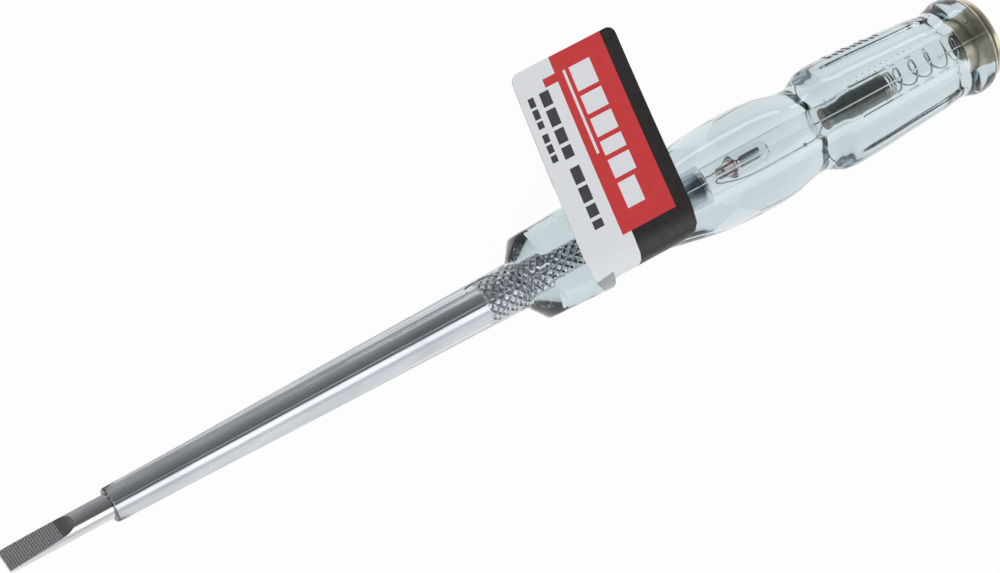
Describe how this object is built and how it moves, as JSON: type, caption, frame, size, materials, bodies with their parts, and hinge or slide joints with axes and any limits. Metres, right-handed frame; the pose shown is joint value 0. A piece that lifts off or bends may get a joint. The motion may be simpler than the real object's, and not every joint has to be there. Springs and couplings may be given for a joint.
{
  "type": "voltage tester screwdriver",
  "caption": "Flat-blade screwdriver with a neon lamp, resistor and contact spring inside a clear fluted handle, closed by a metal screw cap.",
  "frame": {"origin": "middle of the blade's flat end face, on the tool's long axis", "axes": "+X along the tool from the blade to the screw cap; +Z out of the collar's top flat, on the side of the label's front; +Y the way the label's flag points"},
  "size_m": [0.19, 0.0393, 0.0186],
  "materials": {
    "plated_steel": "nickel-plated rod with a ground and grooved blade",
    "clear_plastic": "clear moulded acetate, glossy",
    "lamp_glass": "clear lamp glass",
    "pinched_glass": "pinched glass seal, pinkish",
    "electrode_metal": "dull nickel electrodes",
    "tinned_wire": "tinned lead wire",
    "solder": "solder bead",
    "resistor_ceramic": "ceramic rod under the coat",
    "resistor_coating": "dark grey-green lacquer",
    "resistor_cap_brass": "pressed end caps",
    "spring_steel": "drawn spring wire",
    "plated_brass": "polished nickel-plated brass, warm tint",
    "label_paper": "printed die-cut label: white, red and black panels"
  },
  "bodies": {
    "handle": {"blade_shaft": "plated_steel", "handle": "clear_plastic", "lamp_seal": "pinched_glass", "lamp_glass": "lamp_glass", "lamp_electrode_front": "electrode_metal", "lamp_electrode_rear": "electrode_metal", "lamp_lead_front": "tinned_wire", "lamp_lead_rear": "tinned_wire", "solder_bead": "solder", "resistor_lead": "tinned_wire", "resistor_core": "resistor_ceramic", "resistor_coat": "resistor_coating", "resistor_cap_front": "resistor_cap_brass", "resistor_cap_rear": "resistor_cap_brass", "label": "label_paper"},
    "spring": {"contact_spring": "spring_steel"},
    "cap": {"end_cap": "plated_brass"}
  },
  "joints": [
    {"name": "cap_draw", "type": "slide", "parent": "handle", "child": "spring", "axis": [1, 0, 0], "range_m": [0, 0.0035], "deforming": ["contact_spring"]},
    {"name": "cap_turn", "type": "hinge", "parent": "spring", "child": "cap", "pos_m": [0.1888, 0, 0], "axis": [1, 0, 0], "range_deg": [0, 1800]}
  ],
  "couplings": [
    {"joint": "cap_turn", "follows": "cap_draw", "rad_per_m": 8976}
  ]
}
